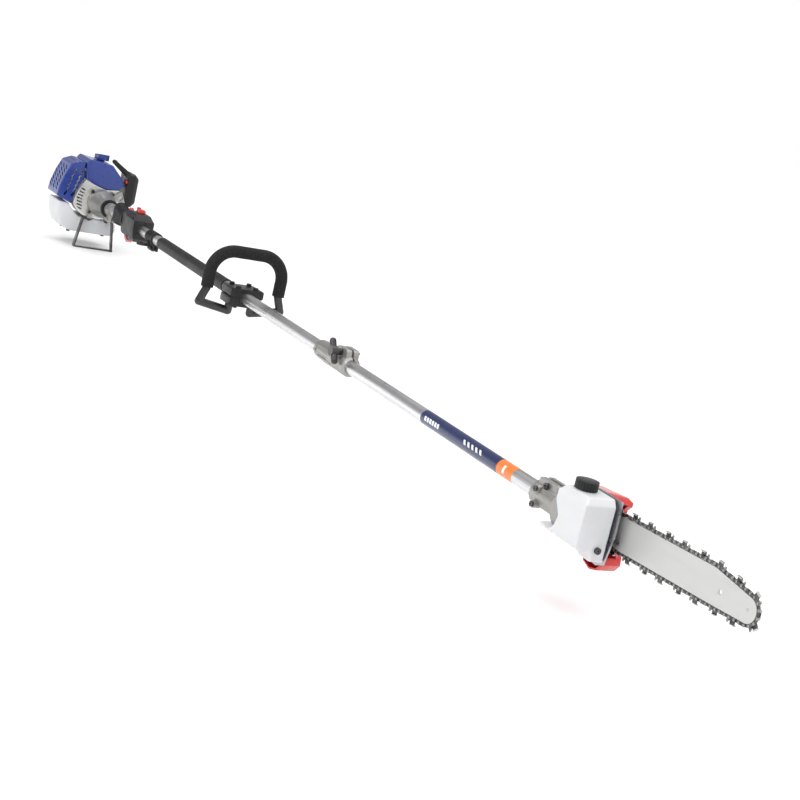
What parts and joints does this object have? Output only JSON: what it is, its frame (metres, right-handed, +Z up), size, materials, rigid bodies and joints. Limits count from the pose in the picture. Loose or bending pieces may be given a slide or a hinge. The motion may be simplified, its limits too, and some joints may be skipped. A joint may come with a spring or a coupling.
{
  "type": "pole saw",
  "caption": "Petrol pole saw: two-stroke engine on a flat stand, split tubular shaft with grip and loop handle, and a chain saw head with oil tank and guide bar.",
  "frame": {"origin": "middle of the stand's foot, on the ground", "axes": "+X along the shaft from the engine to the saw, +Z up, +Y towards the air cleaner"},
  "size_m": [2.9824, 0.235, 0.258],
  "materials": {
    "blue_plastic": "gloss",
    "cast_case": "satin",
    "cylinder_metal": "cast",
    "muffler_steel": "satin",
    "bearing_steel": "polished",
    "shaft_steel": "satin",
    "ceramic": "glazed",
    "coil_plastic": "matt",
    "flywheel_metal": "cast",
    "clutch_lining": "rough",
    "black_plastic": "satin",
    "filter_foam": "felt",
    "red_plastic": "gloss",
    "white_plastic": "translucent",
    "black_rubber": "matt",
    "black_steel": "satin",
    "tube_metal": "brushed",
    "bush_plastic": "matt",
    "plate_steel": "satin",
    "bar_steel": "satin",
    "chain_steel": "oiled"
  },
  "bodies": {
    "power_unit": {"fan_case": "cast_case", "clutch_housing": "cast_case", "crankcase": "cast_case", "main_bearings": "bearing_steel", "crankshaft": "shaft_steel", "connecting_rod": "cylinder_metal", "piston": "cylinder_metal", "engine_cylinder": "cylinder_metal", "muffler": "muffler_steel", "muffler_guard": "blue_plastic", "cylinder_shroud": "blue_plastic", "spark_plug": "ceramic", "plug_cap": "blue_plastic", "ignition_coil": "coil_plastic", "recoil_cover": "black_plastic", "carburettor": "cast_case", "air_cleaner_base": "black_plastic", "air_filter": "filter_foam", "air_cleaner_cover": "black_plastic", "fuel_tank": "white_plastic", "tank_feet": "black_rubber", "stand": "black_steel", "engine_bolts": "black_steel", "shaft_clamp": "cast_case", "rubber_mounts": "black_rubber", "throttle_housing": "black_plastic", "harness_clamp": "black_plastic", "upper_tube": "tube_metal", "shaft_bushes": "bush_plastic", "rubber_grip": "black_rubber", "coupler": "cast_case"},
    "rotor": {"flywheel": "flywheel_metal", "clutch_shoes": "clutch_lining"},
    "upper_line": {"clutch_drum": "shaft_steel", "upper_drive_shaft": "shaft_steel"},
    "saw_pole": {"lower_tube": "tube_metal", "gear_case": "cast_case", "head_screws": "black_steel", "mounting_plate": "plate_steel", "oil_tank": "white_plastic", "sprocket_cover": "red_plastic", "saw_chain": "chain_steel"},
    "lower_line": {"lower_drive_shaft": "shaft_steel"},
    "sprocket_line": {"sprocket_shaft": "shaft_steel", "sprocket": "shaft_steel"},
    "bar": {"guide_bar": "bar_steel"},
    "bar_nose": {"nose_sprocket": "shaft_steel"},
    "trigger_body": {"trigger": "red_plastic"},
    "lock_body": {"lock_lever": "red_plastic"},
    "switch_body": {"stop_switch": "red_plastic"},
    "choke_body": {"choke_lever": "red_plastic"},
    "primer_body": {"primer_bulb": "red_plastic"},
    "fuel_cap_body": {"fuel_cap": "black_plastic"},
    "oil_cap_body": {"oil_cap": "black_plastic"},
    "starter_reel": {"starter_pulley": "black_plastic"},
    "starter_grip": {"starter_handle": "black_plastic"},
    "knob_body": {"coupler_knob": "black_steel"},
    "loop_handle": {"loop_rod": "black_steel", "loop_foam": "black_rubber", "loop_clamp": "black_plastic"}
  },
  "joints": [
    {"name": "engine_spin", "type": "hinge", "parent": "power_unit", "child": "rotor", "pos_m": [0.024, 0, 0.13], "axis": [1, 0, 0], "continuous": true},
    {"name": "drive_spin", "type": "hinge", "parent": "power_unit", "child": "upper_line", "pos_m": [0.024, 0, 0.13], "axis": [1, 0, 0], "continuous": true},
    {"name": "pole_split", "type": "slide", "parent": "power_unit", "child": "saw_pole", "axis": [1, 0, 0], "range_m": [0, 0.12]},
    {"name": "lower_drive_spin", "type": "hinge", "parent": "saw_pole", "child": "lower_line", "pos_m": [0.024, 0, 0.13], "axis": [1, 0, 0], "continuous": true},
    {"name": "sprocket_spin", "type": "hinge", "parent": "saw_pole", "child": "sprocket_line", "pos_m": [2.444, 0, 0.13], "axis": [0, 1, 0], "continuous": true},
    {"name": "bar_tension", "type": "slide", "parent": "saw_pole", "child": "bar", "axis": [0.999, 0, 0.0436], "range_m": [-0.005, 0]},
    {"name": "bar_nose_spin", "type": "hinge", "parent": "bar", "child": "bar_nose", "pos_m": [2.81131, 0.025, 0.14003], "axis": [0, 1, 0], "continuous": true},
    {"name": "trigger_pull", "type": "hinge", "parent": "power_unit", "child": "trigger_body", "pos_m": [0.267, 0, 0.109], "axis": [0, -1, 0], "range_deg": [0, 12], "stiffness_Nm_per_rad": 0.5, "springref_deg": -8.59},
    {"name": "lock_press", "type": "hinge", "parent": "power_unit", "child": "lock_body", "pos_m": [0.298, 0, 0.157], "axis": [0, -1, 0], "range_deg": [0, 8], "stiffness_Nm_per_rad": 0.4, "springref_deg": -8.59},
    {"name": "stop_slide", "type": "slide", "parent": "power_unit", "child": "switch_body", "axis": [1, 0, 0], "range_m": [0, 0.006]},
    {"name": "choke_swing", "type": "hinge", "parent": "power_unit", "child": "choke_body", "pos_m": [-0.04, 0, 0.196], "axis": [0, 1, 0], "range_deg": [0, 60]},
    {"name": "primer_press", "type": "slide", "parent": "power_unit", "child": "primer_body", "axis": [-1, 0, 0], "range_m": [0, 0.003], "stiffness_N_per_m": 600, "springref_m": -0.001},
    {"name": "fuel_cap_turn", "type": "hinge", "parent": "power_unit", "child": "fuel_cap_body", "pos_m": [-0.136, -0.02, 0.059], "axis": [1, 0, 0], "range_deg": [0, 720]},
    {"name": "oil_cap_turn", "type": "hinge", "parent": "saw_pole", "child": "oil_cap_body", "pos_m": [2.49, -0.022, 0.185], "axis": [0, 0, 1], "range_deg": [0, 720]},
    {"name": "rope_pull", "type": "slide", "parent": "power_unit", "child": "starter_grip", "axis": [0, 0, 1], "range_m": [0, 0.6]},
    {"name": "reel_spin", "type": "hinge", "parent": "power_unit", "child": "starter_reel", "pos_m": [-0.129, 0, 0.13], "axis": [1, 0, 0], "range_deg": [-5, 946.8]},
    {"name": "knob_turn", "type": "hinge", "parent": "power_unit", "child": "knob_body", "pos_m": [1.652, 0, 0.152], "axis": [0, 1, 0], "range_deg": [0, 720]},
    {"name": "loop_slide", "type": "slide", "parent": "power_unit", "child": "loop_handle", "axis": [1, 0, 0], "range_m": [-0.05, 0.3]}
  ],
  "couplings": [
    {"joint": "lower_drive_spin", "follows": "drive_spin", "ratio": 1},
    {"joint": "sprocket_spin", "follows": "drive_spin", "ratio": -0.77778},
    {"joint": "reel_spin", "follows": "rope_pull", "rad_per_m": 27.397}
  ]
}
